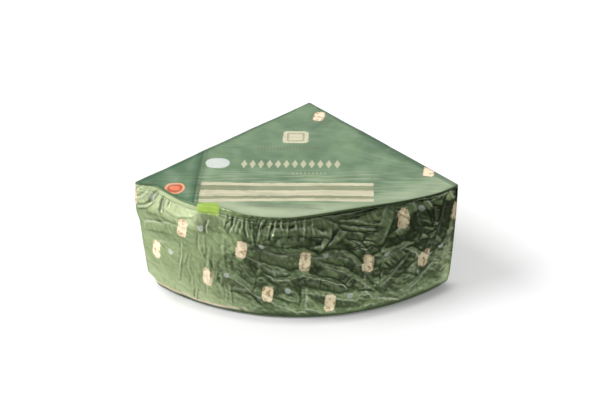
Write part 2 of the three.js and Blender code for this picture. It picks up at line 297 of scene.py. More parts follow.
# Upright creases placed by rule: how many, a seed, then from least to most the run, the height of the upper
# end, the length, how far the lower end stands aside, the half width and the rise.
EDGE_PLEATS = (24, 10, (-48, 16), (HEIGHT - 1.5, HEIGHT - 1.5), (6, 17), (-4.0, 2.5), (0.8, 1.7), (0.3, 0.8))
CHANNELS = (30, 60, (-82, -44), (24, 66), (7, 30), (-6.0, 3.5), (0.9, 2.2), (0.15, 0.5))
CREASE_HALF = (4, 8)
CUT_CREASES = 14
CUT_CREASE_LENGTH = (40, 90)
CUT_CREASE_RISE = 0.8
CUT_WIDE = 0.5
CUT_FINE = 0.2
CUT_FADES = (5.0, 6.0)  # how far the relief fades out towards the foot and top, and towards the corners
FLAP_REACH = 58.0
FLAP_THICKNESS = 1.3
FLAP_EDGE = 3.0


def scatter(i, k):
    """A number from 0 to 1 that depends only on i and k: the fraction of a large multiple of a sine."""
    x = np.sin(i * 127.1 + k * 311.7) * 43758.5453
    return x - np.floor(x)


def mix(low, high, share):
    """The value that lies that share of the way from low to high."""
    return low + (high - low) * share


def noise(u, v, size, seed):
    """Slow waves from 0 to 1: random numbers at the corners of squares of that size, blended between the
    corners by a smooth step of the place in the square."""
    p, q = u / size, v / size
    i, j = np.floor(p), np.floor(q)
    s, t = smooth(p - i, 0, 1), smooth(q - j, 0, 1)
    low = mix(scatter(i, j + seed), scatter(i + 1, j + seed), s)
    high = mix(scatter(i, j + 1 + seed), scatter(i + 1, j + 1 + seed), s)
    return mix(low, high, t)


def facets(u, v, long, wide, seed):
    """Flat facets between sharp creases, from -1 to 1: random heights at the corners of a triangle grid,
    joined by planes. Slow waves bend the grid, so that no two facets are alike."""
    bend = WARP * math.sqrt(long * wide) * 2
    p = (u + bend * (noise(u, v, long * 1.3, seed + 7) - 0.5)) / long
    q = (v + bend * (noise(u, v, long * 1.3, seed + 19) - 0.5)) / wide
    p = p - q / 2
    i, j = np.floor(p), np.floor(q)
    s, t = p - i, q - j
    upper = s + t > 1
    corner = np.where(upper, scatter(i + 1, j + 1 + seed), scatter(i, j + seed))
    share = np.where(upper, s + t - 1, 1 - s - t)
    beside = np.where(upper, 1 - t, s)
    above = np.where(upper, 1 - s, t)
    return (corner * share + scatter(i + 1, j + seed) * beside + scatter(i, j + 1 + seed) * above) * 2 - 1


def along_sweep(run, up):
    """The places on axes turned along the sweep of the foil's pull."""
    return (run * math.cos(SWEEP_TURN) + up * math.sin(SWEEP_TURN),
            up * math.cos(SWEEP_TURN) - run * math.sin(SWEEP_TURN))


def facet_corners(lines, apart, rise, seed):
    """The corners of the facets, as (run, height, rise): places a step apart along each line, and between
    the lines places on a shaken grid, which keep half the grid's distance from the lines."""
    on_lines = [np.empty((0, 3))]
    for line in lines:
        line = np.array(line, float)
        reached = np.concatenate([[0], np.cumsum(np.hypot(*np.diff(line[:, :2], axis=0).T))])
        stops = np.linspace(0, reached[-1], int(reached[-1] / LINE_STEP) + 2)
        on_lines.append(np.stack([np.interp(stops, reached, line[:, k]) for k in range(3)], 1))
    on_lines = np.concatenate(on_lines)
    reach = int(140 / apart)
    i, j = np.meshgrid(np.arange(-reach, reach + 1), np.arange(-2, int(100 / apart)))
    i, j = i.ravel(), j.ravel()
    run = (i + j % 2 / 2 + 0.7 * (scatter(i + seed, j) - 0.5)) * apart
    up = (j + 0.7 * (scatter(i + seed, j + 40) - 0.5)) * apart * 0.85
    between = np.stack([run, up, rise * (2 * scatter(i + seed, j + 80) - 1)], 1)
    if len(on_lines):
        away = np.hypot(run[:, None] - on_lines[:, 0], up[:, None] - on_lines[:, 1]).min(1)
        between = between[away > apart / 2]
    return np.concatenate([on_lines, between])


def joined_by_planes(run, up, corners):
    """The corners' rises, joined by a plane over each triangle between three of them. The triangles are
    Delaunay's, found on axes squeezed along the sweep, so that they lie along it."""
    u, v = along_sweep(corners[:, 0], corners[:, 1])
    plan = [Vector(place) for place in np.stack([u / SWEEP_STRETCH, v], 1).tolist()]
    _, _, triangles, sources, _, _ = delaunay_2d_cdt(plan, [], [], 0, 1e-4)
    source = np.array([found[0] for found in sources])
    height = np.zeros(run.shape)
    across, climb = run[0], up[:, 0]
    for triangle in triangles:
        (x0, y0, z0), (x1, y1, z1), (x2, y2, z2) = corners[source[triangle]]
        columns = np.flatnonzero((across >= min(x0, x1, x2)) & (across <= max(x0, x1, x2)))
        rows = np.flatnonzero((climb >= min(y0, y1, y2)) & (climb <= max(y0, y1, y2)))
        area = (x1 - x0) * (y2 - y0) - (x2 - x0) * (y1 - y0)
        if len(columns) == 0 or len(rows) == 0 or abs(area) < 1e-9:
            continue
        block = np.ix_(rows, columns)
        s = ((run[block] - x0) * (y2 - y0) - (x2 - x0) * (up[block] - y0)) / area
        t = ((x1 - x0) * (up[block] - y0) - (run[block] - x0) * (y1 - y0)) / area
        inside = (s > -1e-6) & (t > -1e-6) & (s + t < 1 + 1e-6)
        height[block] = np.where(inside, z0 + s * (z1 - z0) + t * (z2 - z0), height[block])
    return height


def fold(run, up, places, half, rise):
    """A ridge with flat flanks along a line of places: its rise falls evenly to nothing at half a width
    aside, and along the line by 1 less the fourth power of the distance from its middle."""
    total = sum(math.dist(a, b) for a, b in zip(places, places[1:]))
    aside, share = np.full(run.shape, np.inf), np.zeros(run.shape)
    passed = 0.0
    for a, b in zip(places, places[1:]):
        du, dv = b[0] - a[0], b[1] - a[1]
        length = math.hypot(du, dv)
        along = ((run - a[0]) * du + (up - a[1]) * dv) / length
        held = np.clip(along, 0, length)
        away = np.hypot(run - a[0] - du * held / length, up - a[1] - dv * held / length)
        share = np.where(away < aside, (passed + held) / total, share)
        aside = np.minimum(aside, away)
        passed += length
    return rise * np.maximum(0, 1 - aside / half) * (1 - (2 * share - 1) ** 4)


def scattered_creases(count, seed, across, length, half, rise, steep):
    """Folds placed by rule over a side, every second one or so a furrow, up to steep from upright."""
    n = seed + np.arange(count)
    middle = np.stack([mix(*across, scatter(n, 1)), mix(6, HEIGHT - 6, scatter(n, 2))], 1)
    turn = mix(-steep, steep, scatter(n, 4)) + math.pi / 2
    reach = np.stack([np.cos(turn), np.sin(turn)], 1) * (mix(*length, scatter(n, 3)) / 2)[:, None]
    halves = mix(*half, scatter(n, 5))
    signed = np.where(scatter(n, 6) < 0.5, -rise, rise)
    return list(zip(zip(middle - reach, middle + reach), halves, signed))


def upright_creases(count, seed, runs, tops, lengths, asides, halves, rises):
    """Nearly upright creases, their places and sizes by rule, about half of them furrows. Each is bent at
    its middle."""
    n = np.arange(count)
    run = mix(*runs, (n + scatter(n, seed + 1)) / count)
    aside, half = mix(*asides, scatter(n, seed + 3)), mix(*halves, scatter(n, seed + 4))
    top = mix(*tops, scatter(n, seed + 7))
    foot = top - mix(*lengths, scatter(n, seed + 2))
    rise = mix(*rises, scatter(n, seed + 5)) * np.where(scatter(n, seed + 6) < 0.5, -1.4, 1)
    kink = mix(-1.5, 1.5, scatter(n, seed + 8))
    return [([(r, t), (r + a / 2 + k, (t + f) / 2), (r + a, f)], h, s)
            for r, t, a, k, f, h, s in zip(run, top, aside, kink, foot, half, rise)]


RIND_FOLDS = THIN_RIDGES + SLITS + upright_creases(*EDGE_PLEATS) + upright_creases(*CHANNELS)
LEFT_FOLDS, RIGHT_FOLDS = (
    scattered_creases(CUT_CREASES, seed, (10, 150), CUT_CREASE_LENGTH, CREASE_HALF, CUT_CREASE_RISE, 1.1)
    for seed in (100, 200)
)


def crumple(run, up, lines):
    """The wide facets, and the two finer sizes added up."""
    wide = joined_by_planes(run, up, facet_corners(lines, *FACETS_WIDE, 0))
    fine = joined_by_planes(run, up, facet_corners([], *FACETS_FINE, 500))
    long, across, rise = FACETS_TINY
    return wide, fine + rise * facets(*along_sweep(run, up), long, across, 62)


def rind_relief(run, up):
    """How far the foil stands out from the rind's arc: facets and folds, faded at foot and top, less the
    groove under the top sheet's edge and the shoulder that sets the top edge back. The shoulder is the
    height's share to a power, and a flat chamfer towards the left end. The hollows DIPS add to it, each
    its depth times the square of 1 less the square of the distance from its middle."""
    wide, fine = crumple(run, up, FOLD_LINES)
    crumpled = smooth(run, *LEFT_END)
    rough = mix(LEFT_ROUGH, 1.0, crumpled)
    at_foot, at_top, at_end = RIND_FADES
    edges = smooth(up, 0, at_foot) * (1 - smooth(up, HEIGHT - at_top, HEIGHT))
    below = HEIGHT - up
    groove = mix(*GROOVE, smooth(run, *GROOVE_DEEPER)) * smooth(run, *GROOVE_START)
    groove = groove * smooth(below, LIP, LIP + GROOVE_UPPER) * (1 - smooth(below, *GROOVE_LOWER))
    dips = sum(depth * np.clip(1 - ((run - at) / half) ** 2, 0, 1) ** 2 for depth, at, half in DIPS)
    fade = np.where(run < 0, smooth(-run, *SHOULDER_FADE_LEFT), smooth(run, *SHOULDER_FADE_RIGHT))
    curved = (up / HEIGHT) ** SHOULDER_POWER
    flat = np.clip((up - CHAMFER_FOOT) / (HEIGHT - CHAMFER_FOOT), 0, 1)
    profile = mix(curved, flat, smooth(-run, *CHAMFER_START))
    shoulder = SHOULDER * (1 - fade) * profile + dips * curved
    at_corner = smooth(RIND_HALF - np.abs(run), 0, at_end)
    depth = FOIL_DEPTH * mix(LEFT_DEPTH, 1.0, crumpled)
    rumpled = wide + fine * rough + sum(fold(run, up, *f) for f in RIND_FOLDS) - depth
    rumpled = rumpled * edges * at_corner
    return mix(rumpled, softened(rumpled), 0.5) - groove * at_corner - shoulder


def softened(values):
    """The values, each blended with its neighbours along both axes: half itself, a quarter each."""
    for _ in range(2):
        padded = np.pad(values, ((1, 1), (0, 0)), mode="edge")
        values = (padded[:-2] + 2 * padded[1:-1] + padded[2:]).T / 4
    return values


def cut_relief(run, up, is_left):
    """How far the foil stands out from a cut side: the flaps folded flat on it, triangles whose reach is
    full at the foot and nil at the top, and a few long creases."""
    length = np.abs(run).max() - RIND_HALF + CORNER_RADIUS
    from_rind = np.abs(run) - RIND_HALF
    from_apex = length - from_rind
    reach = FLAP_REACH * (1 - up / HEIGHT)
    flaps = FLAP_THICKNESS * (1 - smooth(from_rind, reach - FLAP_EDGE, reach))
    if is_left:
        flaps = flaps + FLAP_THICKNESS * (1 - smooth(from_apex, reach - FLAP_EDGE, reach))
    lines = sum(fold(from_apex, up, *f) for f in (LEFT_FOLDS if is_left else RIGHT_FOLDS))
    wide, fine = crumple(from_apex, up, [])
    crumpled = lines + CUT_WIDE * wide + CUT_FINE * fine
    for _ in range(2):
        crumpled = softened(crumpled)
    at_edge, at_end = CUT_FADES
    edges = smooth(up, 0, at_edge) * (1 - smooth(up, HEIGHT - at_edge, HEIGHT))
    at_corner = smooth(np.minimum(from_apex, from_rind), 0, at_end)
    return (flaps + crumpled) * edges * at_corner


TOP_FOLD_X = -65.4
TOP_FOLD_SLOPE = 0.006
TOP_SWELL = 0.4
TOP_RISE = (0.3, 1.1)
TOP_SWELL_LENGTH = 46.0
# Long shallow folds in the top sheet: places (x, y), half width and rise.
TOP_FOLDS = [
    ([(-66, 14), (-66, -60)], 5.0, 0.3),
    ([(30, 18), (84, -12)], 7.0, -0.35),
    ([(-40, -56), (20, -62)], 6.0, 0.3),
    ([(8, 36), (24, 62)], 7.0, 0.35),
]
# Its shallow facets: how high at most, how long, how wide, and a seed.
TOP_FACETS = [(0.26, 26, 18, 5), (0.09, 9, 6, 8)]
TOP_EDGE_DROP = 2.6
TOP_EDGE_WIDTH = 25.0


def top_relief(x, y):
    """The height of the top sheet above the nominal one: it slopes away left of its fold, swells and sinks
    by the product of a sine and a cosine of the place, and is pulled up a little towards the ear."""
    left = -TOP_FOLD_SLOPE * np.maximum(0, TOP_FOLD_X - x)
    swell = np.sin(x / TOP_SWELL_LENGTH + 1) * np.cos((y + 0.6 * x) / TOP_SWELL_LENGTH)
    return left + TOP_SWELL * swell + mix(*TOP_RISE, smooth(-x, 10, 80))


def top_crumple(x, y):
    """The fine relief of the top sheet: its creases, and facets so shallow that they only catch light.
    It sinks a little towards the round edge, by the square of the nearness to it."""
    creases = sum(fold(x, y, *f) for f in TOP_FOLDS)
    from_edge = WHEEL_RADIUS - SHOULDER - np.hypot(x - WHEEL_CENTRE[0], y - WHEEL_CENTRE[1])
    drop = TOP_EDGE_DROP * np.clip(1 - from_edge / TOP_EDGE_WIDTH, 0, 1) ** 2
    drop = drop * (1 - smooth(-x, 70, 96)) * (1 - smooth(x, 20, 84))
    return sum((rise * facets(x, y, *form) for rise, *form in TOP_FACETS), creases) - drop


def lean(x, y, z):
    """Turns a place about the apex towards the wedge's middle: its angle from -Y loses a share that grows
    with the depth below the top, to a power."""
    kept = 1 - LEAN * (1 - np.clip(z / HEIGHT, 0, 1)) ** LEAN_POWER
    angle = np.arctan2(x - APEX[0], APEX[1] - y) * kept
    reach = np.hypot(x - APEX[0], APEX[1] - y)
    return np.stack([APEX[0] + reach * np.sin(angle), APEX[1] - reach * np.cos(angle), z], -1)


# The foil's skin is a closed mesh: rings round the wall from the foot to the top edge, then rings that
# shrink towards the middle of the top sheet, and others that shrink on the flat underside.

RINGS_ROUNDING = 4
RINGS_WALL = 104
RINGS_UNDER_EDGE = 14
UNDER_EDGE = 6.0
RINGS_TOP = 30
RINGS_FOOT = 4
RINGS_POWER = 1.15  # above 1, so that the top's rings lie closer together near its edge
TOP_MIDDLE = np.array([1.0, 4.0])
# In the foil's own pattern coordinates the top sheet and the underside lie clear of the wall's strip.
TOP_SHIFT = 300.0
FOOT_SHIFT = -300.0


def foil_skin():
    """The skin's vertices in millimetres, as rings of places, and the unrolled place of each on the
    printed sheet: run and height on the wall, and x and y, shifted, on the top and the underside."""
    loop = outline()
    turn = np.linspace(0, math.pi / 2, RINGS_ROUNDING + 1)
    under_edge = HEIGHT - TOP_ROUNDING - UNDER_EDGE
    up = np.concatenate([
        FOOT_ROUNDING * (1 - np.cos(turn)),
        np.linspace(FOOT_ROUNDING, under_edge, RINGS_WALL + 1)[1:],
        np.linspace(under_edge, HEIGHT - TOP_ROUNDING, RINGS_UNDER_EDGE + 1)[1:-1],
        HEIGHT - TOP_ROUNDING * (1 - np.sin(turn)),
    ])
    rounded = np.zeros_like(up)
    rounded[: len(turn)] = FOOT_ROUNDING * (1 - np.sin(turn))
    rounded[-len(turn):] = TOP_ROUNDING * (1 - np.cos(turn))

    run, height = np.meshgrid(loop["run"], up)
    relief = np.zeros_like(run)
    for side in (0, 1, -1):
        columns = loop["side"] == side
        places = run[:, columns], height[:, columns]
        relief[:, columns] = cut_relief(*places, side < 0) if side else rind_relief(*places)
    from_edge = np.abs(np.abs(run) - RIND_HALF)
    ear, tuck = (np.where(run < 0, l, r) for l, r in zip(EDGE_LEFT, EDGE_RIGHT))
    ends = smooth(height, EAR_FOOT, EAR_FOOT + EAR_STEP) * (1 - smooth(height, EAR_TOP - EAR_STEP, EAR_TOP))
    aside = ear * ends - tuck * (1 - smooth(height, 0, TUCK_HEIGHT))
    aside = aside * (1 - smooth(from_edge, 0, EDGE_WIDTH)) * np.sign(run)

    x = loop["point"][:, 0] + loop["out"][:, 0] * (relief - rounded[:, None])
    y = loop["point"][:, 1] + loop["out"][:, 1] * (relief - rounded[:, None])
    sheet = (top_relief(x, y) + top_crumple(x, y)) * smooth(height, HEIGHT / 2, HEIGHT)
    wall = lean(x + aside, y, height + sheet)

    share = 1 - (np.arange(1, RINGS_TOP) / RINGS_TOP)[:, None, None] ** RINGS_POWER
    top_xy = TOP_MIDDLE + (wall[-1, :, :2] - TOP_MIDDLE) * share
    top_z = HEIGHT + top_relief(top_xy[..., 0], top_xy[..., 1]) + top_crumple(top_xy[..., 0], top_xy[..., 1])
    share = (np.arange(1, RINGS_FOOT) / RINGS_FOOT)[:, None, None]
    foot_xy = TOP_MIDDLE + (wall[0, :, :2] - TOP_MIDDLE) * share
    rings = np.concatenate([
        np.concatenate([foot_xy, np.zeros_like(foot_xy[..., :1])], -1),
        wall,
        np.concatenate([top_xy, top_z[..., None]], -1),
    ])
    return rings, loop["run"], up


def wrap_mesh():
    """The closed skin as a piece. Its quads join each ring to the next; at the two poles the last ring's
    quads share one vertex, so they are made as triangles from that pole."""
    rings, run, up = foil_skin()
    count = rings.shape[1]
    number = np.arange(rings.shape[0] * count).reshape(rings.shape[0], count)
    here, across = number[:-1], np.roll(number[:-1], -1, 1)
    above, beyond = number[1:], np.roll(number[1:], -1, 1)
    quads = np.stack([here, across, beyond, above], -1)

    run_next = np.roll(run, -1)
    run_next[-1] = -run_next[0]
    wall_start, wall_end = RINGS_FOOT - 1, RINGS_FOOT + len(up) - 2
    flat = rings[..., :2].copy()
    flat[: wall_start + 1, :, 1] += FOOT_SHIFT
    flat[wall_end:, :, 1] += TOP_SHIFT
    flat_next = np.roll(flat, -1, 1)
    uv = np.stack([flat[:-1], flat_next[:-1], flat_next[1:], flat[1:]], 2)
    left, low = np.meshgrid(run, up[:-1])
    right, high = np.meshgrid(run_next, up[1:])
    corners = [(left, low), (right, low), (right, high), (left, high)]
    uv[wall_start:wall_end] = np.stack([np.stack(corner, -1) for corner in corners], 2)

    foot_pole, top_pole = number.size, number.size + 1
    middle_z = HEIGHT + top_relief(*TOP_MIDDLE) + top_crumple(*TOP_MIDDLE)
    poles = np.array([[*TOP_MIDDLE, 0], [*TOP_MIDDLE, middle_z]])
    vertices = np.concatenate([rings.reshape(-1, 3), poles])
    foot_fan = np.stack([np.full(count, foot_pole), across[0], here[0]], -1)
    top_fan = np.stack([np.full(count, top_pole), above[-1], beyond[-1]], -1)
    foot_uv = np.stack([np.tile(TOP_MIDDLE + [0, FOOT_SHIFT], (count, 1)), flat_next[0], flat[0]], 1)
    top_uv = np.stack([np.tile(TOP_MIDDLE + [0, TOP_SHIFT], (count, 1)), flat[-1], flat_next[-1]], 1)

    faces = quads.reshape(-1, 4).tolist() + foot_fan.tolist() + top_fan.tolist()
    mesh = bpy.data.meshes.new("foil_wrap")
    mesh.from_pydata((vertices * MM).tolist(), [], faces)
    layer = mesh.uv_layers.new(name="sheet")
    all_uv = np.concatenate([uv.reshape(-1, 2), foot_uv.reshape(-1, 2), top_uv.reshape(-1, 2)]) * MM
    layer.data.foreach_set("uv", all_uv.reshape(-1).astype(np.float32))
    bend = np.zeros(len(vertices))
    bend[: number.size] = sharpness(rings).reshape(-1)
    attribute = mesh.attributes.new("bend", "FLOAT", "POINT")
    attribute.data.foreach_set("value", bend.astype(np.float32))
    mesh.shade_smooth()
    mesh.update()
    piece = bpy.data.objects.new("foil_wrap", mesh)
    bpy.context.scene.collection.objects.link(piece)
    return piece


def sharpness(rings):
    """How sharply the skin bends at each vertex, from 1 on a sharp crest to -1 in a sharp valley: the part
    along the normal of the gap between the vertex and the mean of its four neighbours, softened, in units
    of SHARP_BEND."""
    beside = (np.roll(rings, 1, 1) + np.roll(rings, -1, 1)) / 2
    above = np.concatenate([rings[:1], (rings[2:] + rings[:-2]) / 2, rings[-1:]])
    tangent = np.roll(rings, -1, 1) - np.roll(rings, 1, 1)
    climb = np.gradient(rings, axis=0)
    normal = np.cross(tangent, climb)
    normal /= np.linalg.norm(normal, axis=-1, keepdims=True) + 1e-9
    bend = ((2 * rings - beside - above) * normal).sum(-1)
    return np.clip(softened(bend) / SHARP_BEND, -1, 1)


foil_wrap = wrap_mesh()


# The foil's finish: thin aluminium with a satin green lacquer, printed all over with small cream tablets
# and grey dots, and on the top sheet with stripes, a cartouche, rows of lozenges, an oval, a roundel and
# a tab in flat inks. Along the sharpest crests lacquer and ink are rubbed pale, and the pale also stands
# in for a painted highlight there. Light and shade are painted into the colour too: a lighter, cooler
# green on the top sheet, a paler green and pale sheen on the wall's lit ends, painted shade in the
# valleys, at the foot and under the lip, a painted reflection of the floor along the foot, and tablets
# brighter where less light falls.

PAINTED_LIGHT_GREEN = (0.25, 0.315, 0.157, 1)
RIND_GREEN = (0.153, 0.21, 0.099, 1)
RIND_SHADE = (0.1, 0.143, 0.064, 1)
TOP_GREEN = (0.21, 0.32, 0.18, 1)
TOP_SHADE = (0.16, 0.255, 0.15, 1)
TEAL = (0.12, 0.23, 0.135, 1)
PAINTED_EDGE_SHADE = (0.05, 0.1, 0.055, 1)
TOP_PALE = (0.52, 0.61, 0.41, 1)
TOP_EDGE_SHADE = (0.07, 0.14, 0.08, 1)
CREST_WEAR_AND_HIGHLIGHT = (0.62, 0.66, 0.52, 1)
PAINTED_SHADE_DARK = (0.03, 0.05, 0.02, 1)
PAINTED_SHEEN_PALE = (0.64, 0.70, 0.45, 1)
CREAM = (0.97, 0.84, 0.54, 1)
CREAM_DIM = (0.86, 0.70, 0.50, 1)
STRIPE = (0.62, 0.58, 0.40, 1)
BROWN = (0.40, 0.20, 0.07, 1)
OLIVE = (0.24, 0.235, 0.125, 1)
UMBER = (0.12, 0.13, 0.065, 1)
PALE_GREY = (0.58, 0.63, 0.59, 1)
ORANGE = (0.82, 0.14, 0.03, 1)
ORANGE_PALE = (0.80, 0.36, 0.17, 1)
ORANGE_DEEP = (0.44, 0.07, 0.015, 1)
LIME = (0.35, 0.53, 0.065, 1)
FOOT_REFLECTION_PINK = (0.62, 0.48, 0.40, 1)


class Value:
    """An output in a node tree. The operators and methods each add a node, so that a formula reads as it
    is written."""

    def __init__(self, socket):
        self.socket = socket
        self.tree = socket.id_data

    def __add__(self, other):
        return calculate("ADD", self, other)

    __radd__ = __add__

    def __sub__(self, other):
        return calculate("SUBTRACT", self, other)

    def __rsub__(self, other):
        return calculate("SUBTRACT", other, self)

    def __mul__(self, other):
        return calculate("MULTIPLY", self, other)

    def __truediv__(self, other):
        return calculate("DIVIDE", self, other)

    def __abs__(self):
        return calculate("ABSOLUTE", self)

    def length(self):
        return calculate("LENGTH", self)

    def fade(self, start, end, low=1.0, high=0.0):
        """A smooth step, from low at start to high at end."""
        inputs = {0: self, 1: start, 2: end, 3: low, 4: high}
        node = add(self.tree, "ShaderNodeMapRange", inputs, interpolation_type="SMOOTHSTEP")
        return Value(node.outputs[0])

    def rise(self, start, end, high=1.0):
        """A smooth step, from 0 at start to high at end."""
        return self.fade(start, end, 0.0, high)

    def blend(self, first, second):
        """The colour this share of the way from the first to the second."""
        inputs = {0: self, 6: first, 7: second}
        return Value(add(self.tree, "ShaderNodeMix", inputs, data_type="RGBA").outputs[2])

    def parts(self):
        """The X and the Y of a place."""
        outputs = add(self.tree, "ShaderNodeSeparateXYZ", {0: self}).outputs
        return Value(outputs["X"]), Value(outputs["Y"])


def add(tree, kind, inputs=(), **settings):
    """A node with its settings, and with numbers or other nodes' outputs on its numbered or named inputs."""
    node = tree.nodes.new(kind)
    for name, value in settings.items():
        setattr(node, name, value)
    for socket, value in dict(inputs).items():
        if isinstance(value, Value):
            tree.links.new(value.socket, node.inputs[socket])
        else:
            node.inputs[socket].default_value = value
    return node


def calculate(operation, *values):
    """The result of a Math node, or of a Vector Math node where the first output given is no number."""
    first = next(value for value in values if isinstance(value, Value))
    if first.socket.type == "VALUE":
        return Value(add(first.tree, "ShaderNodeMath", enumerate(values), operation=operation).outputs[0])
    node = add(first.tree, "ShaderNodeVectorMath", enumerate(values), operation=operation)
    return Value(node.outputs["Value" if operation in ("LENGTH", "DOT_PRODUCT") else "Vector"])


def noise_at(place, output="Fac", **inputs):
    """A Noise Texture's output at a place."""
    return Value(add(place.tree, "ShaderNodeTexNoise", {"Vector": place, **inputs}).outputs[output])


def shaken(place, reach, **inputs):
    """A place moved by a noise less a half, times the reach."""
    return place + (noise_at(place, "Color", **inputs) - (0.5, 0.5, 0.5)) * reach


def turned(place, angle):
    """A place turned about the origin."""
    inputs = {"Vector": place, "Angle": angle}
    return Value(add(place.tree, "ShaderNodeVectorRotate", inputs, rotation_type="Z_AXIS").outputs[0])


def new_group(name, inputs, build):
    """A shader group with named sockets. The function is given the inputs and returns the outputs."""
    tree = bpy.data.node_groups.new(name, "ShaderNodeTree")
    for title, value in inputs.items():
        kind = "NodeSocketVector" if isinstance(value, tuple) else "NodeSocketFloat"
        tree.interface.new_socket(title, in_out="INPUT", socket_type=kind).default_value = value
    given = tree.nodes.new("NodeGroupInput").outputs
    results = build(**{title.lower().replace(" ", "_"): Value(given[title]) for title in inputs})
    for title in results:
        tree.interface.new_socket(title, in_out="OUTPUT", socket_type="NodeSocketFloat")
    add(tree, "NodeGroupOutput", results)
    return tree


def use(tree, group, inputs):
    """A group's outputs by name."""
    return {out.name: Value(out) for out in add(tree, "ShaderNodeGroup", inputs, node_tree=group).outputs}


ORIGIN = (0.0, 0.0, 0.0)
INK_SOFT = 0.35  # half the width of an ink's soft edge


def shape_masks(place, centre, half_size, corner):
    """A printed shape with round corners: 1 inside, 0 outside. The distance to its edge is the length of
    what is left of the place beyond the half size less the corner radius, less that radius."""
    beyond = calculate("MAXIMUM", abs(place - centre) - (half_size - corner), ORIGIN)
    return {"Mask": ((beyond * (1, 1, 0)).length() - corner).fade(-INK_SOFT, INK_SOFT)}


def scattered_masks(place, turn, column, row, half_width, half_height, dot, dot_place, strip_low,
                    strip_high, top, round_centre, round_radius, clear_centre, clear_half):
    """The pattern all over the foil: tablets on a brick lattice, each with a dot beside it on the wall. A
    place is turned, divided by the lattice, and its fraction less a half gives the place in the cell. A
    tablet is where |x/w| to the fourth plus |y/h| to the fourth, shaken by a noise, stays under 1.
    Rim is a band inside its edge, and Inner is where a coarse noise is high inside it. A tablet is left
    out whole where its centre lies outside the wall's strip, or on the top sheet too near the round edge
    or in the clear panel."""
    x, y = turned(place, turn).parts()
    row_number = calculate("FLOOR", y / row)
    in_row = y / row - row_number - 0.5
    in_column = calculate("FRACT", x / column + calculate("FLOORED_MODULO", row_number, 2.0) * 0.5) - 0.5
    x, y = in_column * column, in_row * row
    in_cell = Value(add(place.tree, "ShaderNodeCombineXYZ", {"X": x, "Y": y}).outputs[0])
    centre = place - turned(in_cell, turn * -1.0)
    up = centre.parts()[1]
    on_wall = calculate("GREATER_THAN", up, strip_low) * calculate("LESS_THAN", up, strip_high)
    outside = calculate("MAXIMUM", *(abs(centre - clear_centre) - clear_half).parts())
    on_top = calculate("GREATER_THAN", outside, 0.0) * calculate("GREATER_THAN", up, top)
    on_top = on_top * calculate("LESS_THAN", (centre - round_centre).length(), round_radius)
    kept = calculate("MAXIMUM", on_wall, on_top)

    wide, tall = calculate("POWER", abs(x / half_width), 4.0), calculate("POWER", abs(y / half_height), 4.0)
    reach = wide + tall + (noise_at(place, Scale=0.55, Detail=1.0) - 0.5) * 1.5
    marked = noise_at(place, Scale=0.3, Detail=1.0).rise(0.56, 0.64)
    return {
        "Tablet": reach.fade(0.8, 1.1) * kept,
        "Rim": reach.rise(0.4, 0.85) * kept,
        "Inner": reach.fade(0.5, 0.9) * marked * kept,
        "Dot": ((in_cell - dot_place).length() / dot).fade(0.7, 1.1) * on_wall,
    }


def surface_values(place, crumple):
    """The foil's fine surface. Height, in millimetres, is a fine grain, the ripple of a noise stretched
    upright, and, as far as Crumple says, the distances to the nearest of scattered points at two scales,
    which meet in sharp ridges. Cloud is a slow change of the lacquer's tone, and Streak a change in
    long thin streaks."""
    ripple = noise_at(place * (1.0, 0.35, 1.0), Scale=0.3, Detail=3.0, Roughness=0.6)
    height = (ripple + noise_at(place, Scale=0.9, Detail=2.0) * 0.35) * 0.14
    swept = turned(shaken(place, (14, 14, 0), Scale=0.08, Detail=1.0), 0.5)
    for apart, stretch, rise in ((7.5, 0.4, 0.6), (3.2, 0.5, 0.24)):
        inputs = {"Vector": swept * (stretch / apart, 1 / apart, 0), "Scale": 1.0}
        cells = add(place.tree, "ShaderNodeTexVoronoi", inputs, voronoi_dimensions="2D")
        height = height + Value(cells.outputs["Distance"]) * (crumple * rise)
    return {
        "Height": height,
        "Cloud": noise_at(place, Scale=0.045, Detail=3.0),
        "Streak": noise_at(place * (0.035, 0.7, 1.0), Scale=1.0, Detail=2.0),
    }


def crease_mask(place, start, end, half):
    """A fine crease in the sheet from one place to another: 1 on the line, 0 at half a width from it. The
    nearest point of the line is its start and a share of its span, which is kept between 0 and 1."""
    span, here = end - start, place - start
    share = calculate("DOT_PRODUCT", here, span) / calculate("DOT_PRODUCT", span, span)
    share = Value(add(place.tree, "ShaderNodeClamp", {0: share}).outputs[0])
    scaled = add(place.tree, "ShaderNodeVectorMath", {0: span, "Scale": share}, operation="SCALE")
    aside = (here - Value(scaled.outputs["Vector"])).length()
    return {"Line": calculate("MAXIMUM", 1.0 - aside / half, 0.0)}


printed_shape = new_group(
    "printed_shape", {"Place": ORIGIN, "Centre": ORIGIN, "Half Size": (1.0, 1.0, 0.0), "Corner": 0.5},
    shape_masks)
scattered_print = new_group(
    "scattered_print",
    {"Place": ORIGIN, "Turn": 0.16, "Column": 44.0, "Row": 31.0, "Half Width": 3.9, "Half Height": 6.9,
     "Dot": 2.3, "Dot Place": (13.5, 6.0, 0.0), "Strip Low": 8.0, "Strip High": 69.0, "Top": 180.0,
     "Round Centre": ORIGIN, "Round Radius": 136.0, "Clear Centre": ORIGIN, "Clear Half": (68.0, 50.0, 0.0)},
    scattered_masks)
foil_surface = new_group("foil_surface", {"Place": ORIGIN, "Crumple": 1.0}, surface_values)
crease_line = new_group(
    "crease_line", {"Place": ORIGIN, "Start": ORIGIN, "End": (1.0, 0.0, 0.0), "Half": 1.0}, crease_mask)

